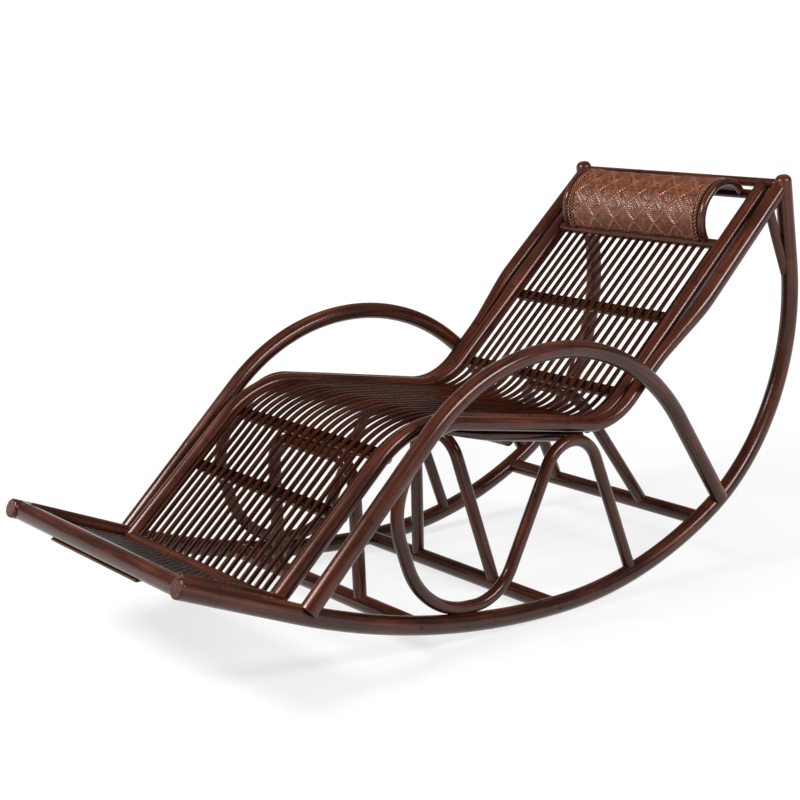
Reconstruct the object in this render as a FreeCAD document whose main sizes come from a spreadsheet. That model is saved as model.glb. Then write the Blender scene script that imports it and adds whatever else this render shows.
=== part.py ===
import FreeCAD, Part
import math
import os

import Sketcher

# Rattan rocking chair with a cane seat, in millimetres.
# +X points to the head end, -X to the foot end, +Y to the sitter's right, +Z up.
# The origin lies on the floor, midway between the points where the runners touch it.

Vector = FreeCAD.Vector
Y_AXIS = Vector(0, 1, 0)
SIDES = (("left", "-"), ("right", ""))
REACH = 5000  # longer than any line of the chair

# Driving dimensions: name, value, meaning. A height is over the floor unless it says otherwise.
SIZES = [
    # Runners
    ("runner_spacing", 620, "between the axes of the runners"),
    ("runner_diameter", 39, "pole of the runners"),
    ("runner_front_x", -953, "front end"),
    ("runner_front_rise", 249.5, "underside at the front end"),
    ("runner_toe_x", -388, "corner of the long front bend"),
    ("runner_toe_rise", 10.09, "underside at that corner"),
    ("runner_toe_bend", 1840, "radius of the long front bend"),
    ("runner_heel_x", 229, "corner of the floor bend"),
    ("runner_heel_rise", -6.51, "underside at that corner"),
    ("runner_heel_bend", 1000, "radius of the floor bend"),
    ("runner_rear_x", 802, "corner of the rear bend"),
    ("runner_rear_rise", 285.5, "underside at that corner"),
    ("runner_rear_straight", 4.7, "straight run between the floor bend and the rear bend"),
    ("runner_top_rise", 31, "top end over the end of the back line"),
    ("runner_front_round", 4, "rounding of the front end"),
    ("runner_top_round", 13, "rounding of the top end"),
    # Side line of seat and back
    ("hip_x", 155, "corner between seat and back"),
    ("hip_z", 376, "corner between seat and back"),
    ("hip_bend", 165, "radius between seat and back"),
    ("back_angle", 42.35, "back line over the level"),
    ("back_length", 711.7, "hip corner to the runner's top"),
    ("seat_angle", 9.4, "seat line, falling to the hip"),
    ("seat_length", 552, "hip corner to the knee corner"),
    ("knee_bend", 220, "radius of the knee"),
    # Arms
    ("arm_diameter", 37, "pole of the arms"),
    ("arm_spread", 11, "arm axis outside the runner axis"),
    ("arm_front_foot_x", -692, "front foot on the runner"),
    ("arm_front_x", -303, "front corner"),
    ("arm_front_z", 535, "front corner"),
    ("arm_front_bend", 456, "radius of the front corner"),
    ("arm_rear_x", 146, "rear corner"),
    ("arm_rear_z", 624.4, "rear corner"),
    ("arm_rear_bend", 510, "radius of the rear corner"),
    ("arm_rear_foot_x", 498, "rear foot on the runner"),
    ("foot_lift", 8, "end of a foot over the runner's axis"),
    # Scroll rails
    ("scroll_diameter", 29, "pole of the scroll rails"),
    ("splay_length", 185, "hip corner to the place where the rail leans outwards"),
    ("splay_bend", 500, "radius of that lean"),
    ("splay_end_length", 345, "hip corner to the place where the lean ends"),
    ("splay_end_inset", 2, "that place inside the runner axis"),
    ("scroll_head_inset", 6, "head end inside the runner axis"),
    ("curl_length", 503, "hip corner to the corner of the knee curl"),
    ("curl_bend", 110, "radius of the knee curl"),
    ("curl_front_x", -481, "foremost corner of the curl"),
    ("curl_front_z", 328, "foremost corner of the curl"),
    ("curl_front_bend", 142, "radius of the foremost corner"),
    ("curl_front_inset", 8, "foremost corner inside the runner axis"),
    ("low_loop_inset", 6, "lower loop inside the runner axis"),
    ("low_loop_front_x", -395, "front corner of the lower loop"),
    ("low_loop_front_rise", 17, "front corner over the runner axis"),
    ("low_loop_front_bend", 177, "radius of that corner"),
    ("low_loop_rear_x", -189, "rear corner of the lower loop"),
    ("low_loop_rear_rise", 36, "rear corner over the runner axis"),
    ("low_loop_rear_bend", 110, "radius of that corner"),
    ("high_loop_inset", 12, "upper loop inside the runner axis"),
    ("high_loop_x", 24.8, "corner of the upper loop"),
    ("high_loop_rise", 77.5, "that corner over the seat line; its bend stays under the seat"),
    ("high_loop_bend", 80, "radius of that corner"),
    ("scroll_foot_x", 208, "foot on the runner"),
    ("scroll_foot_inset", 3, "foot inside the runner axis"),
    # Frame of the cane panel
    ("inner_diameter", 31, "pole of the inner rails"),
    ("bearer_diameter", 25, "pole under each inner rail"),
    ("bearer_start", 60, "rear end of the bearer, from the hip corner"),
    ("bearer_length", 385, "length of the bearer"),
    ("batten_diameter", 28, "cross poles under the canes"),
    ("back_batten_upper_at", 212, "from the headrest's lower bar down the back"),
    ("back_batten_lower_at", 94, "from the hip corner along the back"),
    ("seat_batten_rear_at", 30, "from the hip corner along the seat"),
    ("seat_batten_front_at", 262, "from the hip corner along the seat"),
    ("seat_batten_front_drop", 21, "further down than the others, between the bearers"),
    ("leg_batten_upper_at", 78, "from the knee corner along the leg"),
    ("leg_batten_lower_at", 227, "from the knee corner along the leg"),
    # Canes
    ("cane_count", 20, "canes side by side"),
    ("cane_diameter", 10, "one cane"),
    ("cane_edge_gap", 5, "outermost cane to the inner rail"),
    # Head end
    ("head_rail_diameter", 22, "cross pole between the runner tops"),
    ("head_rail_drop", 22, "under the runner's top end"),
    ("lower_bar_diameter", 24, "cross pole under the headrest"),
    ("top_bar_diameter", 22, "cross pole behind the headrest"),
    ("top_bar_drop", 24.7, "from the end of the back line, along it"),
    ("headrest_span", 160, "between top bar and lower bar"),
    ("headrest_height", 82, "hoop axis over the back line"),
    ("headrest_bend", 76, "radius of the hoop"),
    ("headrest_width", 424, "between the axes of the hoops"),
    ("hoop_diameter", 18, "pole of the hoops"),
    ("shell_wall", 6, "woven shell of the headrest"),
    ("brace_diameter", 22, "short poles under the head"),
    ("brace_inset", 5, "brace axis inside the runner axis"),
    ("brace_upper_drop", 55.7, "upper end, from the end of the back line, along it"),
    ("brace_corner_setback", 5, "bend of the brace, in front of the end of the back line"),
    ("brace_corner_drop", 113.4, "bend of the brace, under the end of the back line"),
    ("brace_bend", 220, "radius of the brace"),
    ("brace_lower_drop", 223.4, "lower end on the runner, under the end of the back line"),
    # Stretchers and arches
    ("stretcher_diameter", 35, "cross poles between the runners"),
    ("front_stretcher_x", -420, "front cross pole"),
    ("middle_stretcher_x", -35, "middle cross pole"),
    ("rear_stretcher_x", 436, "rear cross pole"),
    ("arch_diameter", 28, "bent poles on the stretchers"),
    ("front_arch_foot", 140, "foot from the centre plane"),
    ("front_arch_shoulder", 136, "top corner from the centre plane"),
    ("middle_arch_foot", 128, "foot from the centre plane"),
    ("middle_arch_shoulder", 58, "top corner from the centre plane"),
    ("rear_arch_foot", 141, "foot from the centre plane"),
    ("rear_arch_shoulder", 84, "top corner from the centre plane"),
    ("arch_bend", 62, "radius of the arch corners"),
    # Footrest
    ("front_bar_diameter", 39, "front cross pole"),
    ("front_bar_at", 24, "from the runner's front end"),
    ("rear_bar_diameter", 33, "rear cross pole, where the canes end"),
    ("rear_bar_at", 258, "from the runner's front end"),
    ("side_pole_diameter", 30, "poles along the runners"),
    ("side_pole_rise", 9, "side pole axis over the axes of the bars"),
    ("panel_wall", 6, "woven panel"),
    ("lath_length", 320, "lath under the front bar"),
    ("lath_width", 26, "lath under the front bar"),
    ("lath_wall", 6, "lath under the front bar"),
    ("lath_angle", 0, "slope of the lath, rising to the head end"),
    # Screws and fits
    ("bolt_diameter", 8, "screws through the runners"),
    ("bolt_length", 70, "screws through the runners"),
    ("bolt_recess", 1.5, "screw end inside the runner's outer side"),
    ("fit_gap", 0.3, "clearance where pieces meet"),
]

doc = FreeCAD.newDocument("RattanRockingChair")
sheet = doc.addObject("Spreadsheet::Sheet", "Sizes")
sheet_names = []
nodes = {}


def put_size(name, value, meaning):
    """Write one size in the next row of the sheet, under its name."""
    sheet_names.append(name)
    row = len(sheet_names)
    sheet.set(f"A{row}", meaning)
    sheet.set(f"B{row}", repr(float(value)))
    sheet.setAlias(f"B{row}", name)


def size(name):
    """Read one size from the sheet."""
    return float(sheet.get(name))


def derive(name, value, meaning):
    """Write a size that is worked out from others, and read it back."""
    put_size(name, value, meaning)
    doc.recompute()
    return value


def derive_point(name, point, meaning):
    """Write the two side-view coordinates of a worked-out point."""
    derive(name + "_x", point.x, meaning)
    derive(name + "_z", point.z, meaning)


def side_point(name):
    """Read a point of the side view from the sheet."""
    return Vector(size(name + "_x"), 0, size(name + "_z"))


def cell(name):
    """The expression that reads one size."""
    return "Sizes." + name


def corner_arc(before, corner, after, radius):
    """Tangent points and middle of the arc that rounds one corner of a line."""
    back = (before - corner).normalize()
    ahead = (after - corner).normalize()
    half = back.getAngle(ahead) / 2
    run = radius / math.tan(half)
    inward = (back + ahead).normalize()
    centre = corner + inward * (radius / math.sin(half))
    return corner + back * run, corner + ahead * run, centre


def bent_wire(points, bends):
    """Straight runs joined by tangent arcs, through corners anywhere in space."""
    edges = []
    start = points[0]
    for before, corner, after, radius in zip(points, points[1:], points[2:], bends):
        enter, leave, centre = corner_arc(before, corner, after, radius)
        middle = centre + (corner - centre).normalize() * radius
        edges.append(Part.LineSegment(start, enter).toShape())
        edges.append(Part.Arc(enter, middle, leave).toShape())
        start = leave
    edges.append(Part.LineSegment(start, points[-1]).toShape())
    return Part.Wire(edges)


def draw_path(body, name, plane_role, corners):
    """Sketch straight runs joined by tangent arcs, each corner bound to the sheet.

    A corner is the names of its two coordinates and, between the ends, of its bend.
    """
    plane = next(item for item in body.Origin.OriginFeatures if item.Role == plane_role)
    sketch = body.newObject("Sketcher::SketchObject", name)
    sketch.AttachmentSupport = [(plane, "")]
    sketch.MapMode = "FlatFace"
    points = [Vector(size(corner[0]), size(corner[1]), 0) for corner in corners]
    last = len(points) - 1

    def pin(geometry, position, corner, tag):
        """Hold one point at its two coordinates."""
        for kind, coordinate in (("DistanceX", corner[0]), ("DistanceY", corner[1])):
            label = tag + "_" + kind
            index = sketch.addConstraint(
                Sketcher.Constraint(kind, -1, 1, geometry, position, size(coordinate))
            )
            sketch.renameConstraint(index, label)
            sketch.setExpression("Constraints." + label, cell(coordinate))

    bends = []
    run_starts = [points[0]]
    run_ends = []
    for number in range(1, last):
        before, corner, after = points[number - 1:number + 2]
        radius = size(corners[number][2])
        enter, leave, centre = corner_arc(before, corner, after, radius)
        turns_left = (corner - before).cross(after - corner).z > 0
        first, second = (enter, leave) if turns_left else (leave, enter)
        angle_from = math.atan2(first.y - centre.y, first.x - centre.x)
        angle_to = math.atan2(second.y - centre.y, second.x - centre.x)
        if angle_to < angle_from:
            angle_to += 2 * math.pi
        circle = Part.Circle(centre, Vector(0, 0, 1), radius)
        bends.append((Part.ArcOfCircle(circle, angle_from, angle_to), turns_left))
        run_ends.append(enter)
        run_starts.append(leave)
    run_ends.append(points[last])

    for start, end in zip(run_starts, run_ends):
        sketch.addGeometry(Part.LineSegment(start, end))
    pin(0, 1, corners[0], "start")
    pin(last - 1, 2, corners[last], "end")
    for number, (arc, turns_left) in enumerate(bends, start=1):
        bend = sketch.addGeometry(arc)
        mark = sketch.addGeometry(Part.Point(points[number]), True)
        pin(mark, 1, corners[number], f"corner{number}")
        sketch.addConstraint(Sketcher.Constraint("PointOnObject", mark, 1, number - 1))
        sketch.addConstraint(Sketcher.Constraint("PointOnObject", mark, 1, number))
        enter_end, leave_end = (1, 2) if turns_left else (2, 1)
        sketch.addConstraint(Sketcher.Constraint("Tangent", number - 1, 2, bend, enter_end))
        sketch.addConstraint(Sketcher.Constraint("Tangent", number, 1, bend, leave_end))
        radius_name = corners[number][2]
        index = sketch.addConstraint(Sketcher.Constraint("Radius", bend, size(radius_name)))
        sketch.renameConstraint(index, f"bend{number}")
        sketch.setExpression(f"Constraints.bend{number}", cell(radius_name))
    sketch.recompute()
    return sketch


def section_sketch(body, path, name):
    """An empty sketch square to the start of a path."""
    section = body.newObject("Sketcher::SketchObject", name)
    section.AttachmentSupport = [(path, "Edge1")]
    section.MapMode = "NormalToEdge"
    section.MapPathParameter = 0
    return section


def bind_last(sketch, constraint, label, expression):
    """Add a sized constraint and bind it to an expression."""
    index = sketch.addConstraint(constraint)
    sketch.renameConstraint(index, label)
    sketch.setExpression("Constraints." + label, expression)


def sweep_section(body, section, path, name):
    """Carry a section along a path."""
    pipe = body.newObject("PartDesign::AdditivePipe", name)
    pipe.Profile = section
    pipe.Spine = (path, [])
    section.recompute()
    pipe.recompute()
    return pipe


def bent_pole(name, corners, diameter, plane_role="XZ_Plane"):
    """A round pole bent in one plane; the diameter is an expression."""
    body = doc.addObject("PartDesign::Body", name)
    path = draw_path(body, name + "_path", plane_role, corners)
    section = section_sketch(body, path, name + "_section")
    ring = section.addGeometry(Part.Circle(Vector(), Vector(0, 0, 1), 1))
    section.addConstraint(Sketcher.Constraint("Coincident", ring, 3, -1, 1))
    bind_last(section, Sketcher.Constraint("Diameter", ring, 2), "diameter", diameter)
    sweep_section(body, section, path, name + "_pipe")
    return body


def straight_pole(name, diameter, length, base, direction):
    """A round pole from a point along a direction; diameter and length are expressions."""
    pole = doc.addObject("Part::Cylinder", name)
    pole.setExpression("Radius", f"({diameter}) / 2")
    pole.setExpression("Height", length)
    pole.Placement = FreeCAD.Placement(base, FreeCAD.Rotation(Vector(0, 0, 1), direction))
    return pole


def cross_pole(name, diameter, half_length, point):
    """A pole along Y, centred on the middle plane, at a point of the side view."""
    pole = straight_pole(name, diameter, f"2 * ({half_length})", Vector(point.x, 0, point.z), Y_AXIS)
    pole.setExpression("Placement.Base.y", f"-({half_length})")
    return pole


def grown(diameter):
    """The expression of a pole's diameter with the fit clearance all round."""
    return f"{cell(diameter)} + 2 * {cell('fit_gap')}"


def cut(name, base, tools):
    """Take the tools out of the base, one after the other."""
    result = base
    for number, tool in enumerate(tools, start=1):
        step = doc.addObject("Part::Cut", f"{name}_cut{number}")
        step.Base = result
        step.Tool = tool
        result = step
    return result


def keep(name, item):
    """Name a finished piece."""
    item.Label = name
    nodes[name] = item


def along(start, angle, distance):
    """The point at a distance from another, at an angle over +X in the side view."""
    turn = math.radians(angle)
    return start + Vector(math.cos(turn), 0, math.sin(turn)) * distance


def tilted(point, angle):
    """A placement at a side-view point, with its own X axis raised by an angle."""
    return FreeCAD.Placement(point, FreeCAD.Rotation(Y_AXIS, -angle))


def slope_between(start, end):
    """The angle over +X of the line from one side-view point to another."""
    return math.degrees(math.atan2(end.z - start.z, end.x - start.x))


def beside(y, diameter, next_diameter):
    """The axis of a pole that lies just inside another one."""
    return y - (size(diameter) + size(next_diameter)) / 2 - size("fit_gap")


def side_wire(corners):
    """The line of a pole in the side view."""
    points = [Vector(size(corner[0]), 0, size(corner[1])) for corner in corners]
    return bent_wire(points, [size(corner[2]) for corner in corners[1:-1]])


def crossings(wire, start, end):
    """The points where a wire of the side view meets a straight line."""
    line = Part.LineSegment(start, end).toShape()
    return [pair[0] for pair in wire.distToShape(line)[1]]


def on_runner(x):
    """The runner's axis point at a place along the floor."""
    found = crossings(runner_wire, Vector(x, 0, -REACH), Vector(x, 0, REACH))
    return min(found, key=lambda point: point.z)


def behind_runner(z):
    """The runner's rear axis point at a height."""
    found = crossings(runner_wire, Vector(0, 0, z), Vector(REACH, 0, z))
    return max(found, key=lambda point: point.x)


def turn_at(before, corner, after):
    """The angle by which a line turns at a corner."""
    return (corner - before).getAngle(after - corner)


def rear_bend_radius():
    """The rear bend takes what the floor bend and the straight run leave of the way between them."""
    toe, heel, rear, top = (side_point(f"runner_{place}") for place in ("toe", "heel", "rear", "top"))
    heel_reach = size("runner_heel_bend") * math.tan(turn_at(toe, heel, rear) / 2)
    rear_reach = (rear - heel).Length - heel_reach - size("runner_rear_straight")
    return rear_reach / math.tan(turn_at(heel, rear, top) / 2)


def over_runner(name):
    """A corner of the scroll rail at its rise over the runner's axis."""
    return on_runner(size(name + "_x")) + Vector(0, 0, size(name + "_rise"))


def over_seat(name):
    """A corner of the scroll rail at its rise over the seat line."""
    x = size(name + "_x")
    seat_line = hip.z + (hip.x - x) * math.tan(math.radians(size("seat_angle")))
    return Vector(x, 0, seat_line + size(name + "_rise"))


def lifted(foot, corner):
    """The end of a foot, short of the runner's axis on the way to its next corner."""
    return foot + (corner - foot).normalize() * size("foot_lift")


def batten_point(name, corner, way, extra_drop=0):
    """The axis of a batten, under the canes at its distance from a corner of the panel."""
    place = along(corner, way, size(name + "_at"))
    points, info = panel_wire.distToShape(Part.Vertex(place))[1:]
    edge_number, parameter = info[0][1:3]
    ahead = panel_wire.Edges[edge_number].tangentAt(parameter)
    down = Vector(ahead.z, 0, -ahead.x)
    if down.z > 0:
        down = -down
    return points[0][0] + down * (batten_drop + extra_drop)


def side_bend(name, corners, diameter, y_name, sign):
    """A bent pole in its own upright plane on one side of the chair."""
    body = bent_pole(name, corners, diameter)
    body.setExpression("Placement.Base.y", f"{sign}{cell(y_name)}")
    return body


# The sheet
for entry in SIZES:
    put_size(*entry)
doc.recompute()

# Worked-out places: runner, back line, seat line and leg line in the side view
runner_y = derive("runner_y", size("runner_spacing") / 2, "runner axis from the centre plane")
for place in ("front", "toe", "heel", "rear"):
    axis_height = size(f"runner_{place}_rise") + size("runner_diameter") / 2
    derive(f"runner_{place}_z", axis_height, "runner axis")
hip = side_point("hip")
back_angle = size("back_angle")
seat_way = 180 - size("seat_angle")
back_end = along(hip, back_angle, size("back_length"))
knee = along(hip, seat_way, size("seat_length"))
derive_point("knee", knee, "corner between seat and leg rest")
derive_point("runner_top", back_end + Vector(0, 0, size("runner_top_rise")), "top end of the runner")
derive("runner_rear_bend", rear_bend_radius(), "radius of the rear bend")
runner_corners = [
    ("runner_front_x", "runner_front_z"),
    ("runner_toe_x", "runner_toe_z", "runner_toe_bend"),
    ("runner_heel_x", "runner_heel_z", "runner_heel_bend"),
    ("runner_rear_x", "runner_rear_z", "runner_rear_bend"),
    ("runner_top_x", "runner_top_z"),
]
runner_wire = side_wire(runner_corners)
runner_front = side_point("runner_front")
front_slope = slope_between(runner_front, side_point("runner_toe"))
front_bar = along(runner_front, front_slope, size("front_bar_at"))
rear_bar = along(runner_front, front_slope, size("rear_bar_at"))
leg_angle = slope_between(knee, rear_bar)
top_bar = along(back_end, back_angle, -size("top_bar_drop"))
lower_bar = along(top_bar, back_angle, -size("headrest_span"))
runner_end_angle = slope_between(side_point("runner_rear"), side_point("runner_top"))
head_rail = along(side_point("runner_top"), runner_end_angle, -size("head_rail_drop"))
stretcher_places = {
    place: on_runner(size(f"{place}_stretcher_x")) for place in ("front", "middle", "rear")
}

# Worked-out widths from the centre plane, each piece inside the next
arm_y = derive("arm_y", runner_y + size("arm_spread"), "arm axis")
scroll_y = derive(
    "scroll_y", beside(arm_y, "arm_diameter", "scroll_diameter"), "scroll rail along the seat"
)
inner_y = derive("inner_y", beside(scroll_y, "scroll_diameter", "inner_diameter"), "inner rail")
derive(
    "side_pole_y", beside(runner_y, "runner_diameter", "side_pole_diameter"), "footrest side pole"
)
derive("brace_y", runner_y - size("brace_inset"), "head brace")
cane_edge_y = derive(
    "cane_edge_y",
    inner_y - size("inner_diameter") / 2 - size("cane_edge_gap") - size("cane_diameter") / 2,
    "outermost cane",
)
cane_count = round(size("cane_count"))
derive("cane_pitch", 2 * cane_edge_y / (cane_count - 1), "between the axes of the canes")

# Worked-out lines of the bent poles
arm_front = side_point("arm_front")
arm_rear = side_point("arm_rear")
derive_point("arm_front_end", lifted(on_runner(size("arm_front_foot_x")), arm_front), "front foot")
derive_point("arm_rear_end", lifted(on_runner(size("arm_rear_foot_x")), arm_rear), "rear foot")
arm_corners = [
    ("arm_front_end_x", "arm_front_end_z"),
    ("arm_front_x", "arm_front_z", "arm_front_bend"),
    ("arm_rear_x", "arm_rear_z", "arm_rear_bend"),
    ("arm_rear_end_x", "arm_rear_end_z"),
]
derive_point("leg_end", rear_bar, "lower end of the inner rail")
derive_point("back_top", along(hip, back_angle, (head_rail - hip).Length), "its upper end")
panel_corners = [
    ("leg_end_x", "leg_end_z"),
    ("knee_x", "knee_z", "knee_bend"),
    ("hip_x", "hip_z", "hip_bend"),
    ("back_top_x", "back_top_z"),
]
panel_wire = side_wire(panel_corners)
cane_foot = along(rear_bar, leg_angle + 180, size("rear_bar_diameter") / 2 + size("fit_gap"))
cane_top = along(lower_bar, back_angle + 180, size("lower_bar_diameter") / 2 + size("fit_gap"))
derive_point("cane_foot", cane_foot, "lower end of the canes")
derive_point("cane_top", cane_top, "upper end of the canes")
cane_corners = [("cane_foot_x", "cane_foot_z")] + panel_corners[1:3] + [("cane_top_x", "cane_top_z")]
derive("headrest_foot", 0, "hoop ends, on the back line")
hoop_corners = [
    ("headrest_foot", "headrest_foot"),
    ("headrest_foot", "headrest_height", "headrest_bend"),
    ("headrest_span", "headrest_height", "headrest_bend"),
    ("headrest_span", "headrest_foot"),
]
derive_point(
    "brace_upper", along(back_end, back_angle, -size("brace_upper_drop")), "upper end of the brace"
)
brace_corner = back_end - Vector(size("brace_corner_setback"), 0, size("brace_corner_drop"))
derive_point("brace_corner", brace_corner, "bend of the brace")
derive_point(
    "brace_end", behind_runner(back_end.z - size("brace_lower_drop")), "lower end of the brace"
)
brace_corners = [
    ("brace_upper_x", "brace_upper_z"),
    ("brace_corner_x", "brace_corner_z", "brace_bend"),
    ("brace_end_x", "brace_end_z"),
]
batten_drop = (size("cane_diameter") + size("batten_diameter")) / 2 + size("fit_gap")
batten_points = {
    "back_batten_upper": batten_point("back_batten_upper", lower_bar, back_angle + 180),
    "back_batten_lower": batten_point("back_batten_lower", hip, back_angle),
    "seat_batten_rear": batten_point("seat_batten_rear", hip, seat_way),
    "seat_batten_front": batten_point(
        "seat_batten_front", hip, seat_way, size("seat_batten_front_drop")
    ),
    "leg_batten_upper": batten_point("leg_batten_upper", knee, leg_angle),
    "leg_batten_lower": batten_point("leg_batten_lower", knee, leg_angle),
}
ARCHES = {"front": "leg_batten_upper", "middle": "seat_batten_front", "rear": "back_batten_lower"}
arch_top_gap = (size("arch_diameter") + size("batten_diameter")) / 2 + size("fit_gap")
derive("arch_foot_z", 0, "feet of the arches, on the stretcher's axis")
arch_leans = {}
for place, batten in ARCHES.items():
    lean = batten_points[batten] - stretcher_places[place]
    arch_leans[place] = math.degrees(math.atan2(lean.z, lean.x)) - 90
    derive(f"{place}_arch_height", lean.Length - arch_top_gap, "arch over the stretcher's axis")
    derive(f"{place}_arch_foot_left", -size(f"{place}_arch_foot"), "left foot")
    derive(f"{place}_arch_shoulder_left", -size(f"{place}_arch_shoulder"), "left corner")
derive("bar_distance", (rear_bar - front_bar).Length, "between the axes of the footrest bars")


# Stretchers and their screws
def screw_set(name, diameter, recess, length):
    """One screw through each end of each stretcher, as a group of cylinders."""
    screws = []
    outside = f"{cell('runner_y')} + {cell('runner_diameter')} / 2 - ({recess})"
    for place, point in stretcher_places.items():
        for side, sign in SIDES:
            inward = Y_AXIS if sign else -Y_AXIS
            screw = straight_pole(f"{name}_{place}_{side}", diameter, length, point, inward)
            screw.setExpression("Placement.Base.y", f"{sign}({outside})")
            screws.append(screw)
    group = doc.addObject("Part::Compound", name)
    group.Links = screws
    return group


bolts = screw_set(
    "bolts", cell("bolt_diameter"), cell("bolt_recess"), cell("bolt_length")
)
keep("stretcher_bolts", bolts)
bolt_room = screw_set(
    "bolt_room", grown("bolt_diameter"), f"-{cell('bolt_recess')}",
    f"{cell('bolt_length')} + 2 * {cell('bolt_recess')} + {cell('fit_gap')}",
)


# Runners, with rounded ends and screw holes
def end_edge(shape, point):
    """The name of the edge round the end face at a point."""
    gaps = [
        (edge.Curve.Center - point).Length if hasattr(edge.Curve, "Center") else REACH
        for edge in shape.Edges
    ]
    return f"Edge{gaps.index(min(gaps)) + 1}"


runner_rooms = {}
for side, sign in SIDES:
    pole = bent_pole(f"runner_{side}_pole", runner_corners, cell("runner_diameter"))
    for place, rounding in (("front", "runner_front_round"), ("top", "runner_top_round")):
        base = pole.Tip
        fillet = pole.newObject("PartDesign::Fillet", f"runner_{side}_{place}_round")
        fillet.Base = (base, [end_edge(base.Shape, side_point("runner_" + place))])
        fillet.setExpression("Radius", cell(rounding))
        fillet.recompute()
    pole.setExpression("Placement.Base.y", sign + cell("runner_y"))
    keep(f"runner_{side}", cut(f"runner_{side}", pole, [bolt_room]))
    runner_rooms[side] = side_bend(
        f"runner_{side}_room", runner_corners, grown("runner_diameter"), "runner_y", sign
    )
both_runners = list(runner_rooms.values())


def runner_cross_pole(name, diameter, point):
    """A pole between the runners, hollowed at both ends to sit on them."""
    return cut(name, cross_pole(name + "_pole", diameter, cell("runner_y"), point), both_runners)


for place, point in stretcher_places.items():
    name = f"{place}_stretcher"
    pole = runner_cross_pole(name, cell("stretcher_diameter"), point)
    keep(name, cut(name + "_bored", pole, [bolt_room]))

# Arms
for side, sign in SIDES:
    pole = side_bend(f"arm_{side}_pole", arm_corners, cell("arm_diameter"), "arm_y", sign)
    keep(f"arm_{side}", cut(f"arm_{side}", pole, [runner_rooms[side]]))

# Footrest bars and head rail
rooms = {}
for name, diameter, point in (
    ("footrest_front_bar", "front_bar_diameter", front_bar),
    ("footrest_rear_bar", "rear_bar_diameter", rear_bar),
    ("head_rail", "head_rail_diameter", head_rail),
):
    keep(name, runner_cross_pole(name, cell(diameter), point))
    rooms[name] = cross_pole(name + "_room", grown(diameter), cell("runner_y"), point)

# Scroll rails: back line, seat, knee curl, lower loop, upper loop and foot in one pole
low_loop_y = runner_y - size("low_loop_inset")
scroll_line = [
    (back_end, runner_y - size("scroll_head_inset"), None),
    (along(hip, back_angle, size("splay_end_length")), runner_y - size("splay_end_inset"), "splay_bend"),
    (along(hip, back_angle, size("splay_length")), scroll_y, "splay_bend"),
    (hip, scroll_y, "hip_bend"),
    (along(hip, seat_way, size("curl_length")), scroll_y, "curl_bend"),
    (side_point("curl_front"), runner_y - size("curl_front_inset"), "curl_front_bend"),
    (over_runner("low_loop_front"), low_loop_y, "low_loop_front_bend"),
    (over_runner("low_loop_rear"), low_loop_y, "low_loop_rear_bend"),
    (over_seat("high_loop"), runner_y - size("high_loop_inset"), "high_loop_bend"),
    (on_runner(size("scroll_foot_x")), runner_y - size("scroll_foot_inset"), None),
]
scroll_bends = [size(bend) for point, y, bend in scroll_line[1:-1]]


def scroll_pole(name, points, diameter):
    """A round pole along the scroll line, which leaves its plane."""
    path = doc.addObject("Part::Feature", name + "_path")
    path.Shape = bent_wire(points, scroll_bends)
    ring = doc.addObject("Part::Circle", name + "_ring")
    ring.setExpression("Radius", f"({diameter}) / 2")
    heading = FreeCAD.Rotation(Vector(0, 0, 1), points[1] - points[0])
    ring.Placement = FreeCAD.Placement(points[0], heading)
    rail = doc.addObject("Part::Sweep", name)
    rail.Sections = [ring]
    rail.Spine = (path, [])
    rail.Solid = True
    rail.Frenet = False
    return rail


scroll_rooms = {}
for side, sign in SIDES:
    outward = -Y_AXIS if sign else Y_AXIS
    points = [point + outward * y for point, y, bend in scroll_line]
    rail = scroll_pole(f"scroll_{side}_pole", points, cell("scroll_diameter"))
    keep(f"scroll_rail_{side}", cut(f"scroll_{side}", rail, [runner_rooms[side], rooms["head_rail"]]))
    scroll_rooms[side] = scroll_pole(f"scroll_{side}_room", points, grown("scroll_diameter"))

# Inner rails, from the footrest's rear bar to the head rail
inner_rooms = []
for side, sign in SIDES:
    rail = side_bend(f"inner_{side}_pole", panel_corners, cell("inner_diameter"), "inner_y", sign)
    keep(f"inner_rail_{side}", cut(f"inner_{side}", rail, [rooms["footrest_rear_bar"], rooms["head_rail"]]))
    inner_rooms.append(
        side_bend(f"inner_{side}_room", panel_corners, grown("inner_diameter"), "inner_y", sign)
    )

# Bearers under the inner rails, along the seat
bearer_drop = (size("inner_diameter") + size("bearer_diameter")) / 2 + size("fit_gap")
bearer_top = along(hip, seat_way, size("bearer_start"))
bearer_rear = along(bearer_top, -90 - size("seat_angle"), bearer_drop)
bearer_way = along(Vector(), seat_way, 1)
bearer_rooms = []
for side, sign in SIDES:
    for use, diameter in (("pole", cell("bearer_diameter")), ("room", grown("bearer_diameter"))):
        bearer = straight_pole(
            f"bearer_{side}_{use}", diameter, cell("bearer_length"), bearer_rear, bearer_way
        )
        bearer.setExpression("Placement.Base.y", sign + cell("inner_y"))
        if use == "pole":
            keep(f"seat_bearer_{side}", bearer)
        else:
            bearer_rooms.append(bearer)

# Battens under the canes
for name, point in batten_points.items():
    pole = cross_pole(name + "_pole", cell("batten_diameter"), cell("inner_y"), point)
    keep(name, cut(name, pole, inner_rooms + bearer_rooms))

# Canes, all along the line of the inner rails
for number in range(cane_count):
    name = f"cane_{number + 1:02d}"
    cane = bent_pole(name, cane_corners, cell("cane_diameter"))
    cane.setExpression(
        "Placement.Base.y", f"-{cell('cane_edge_y')} + {number} * {cell('cane_pitch')}"
    )
    keep(name, cane)

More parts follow.
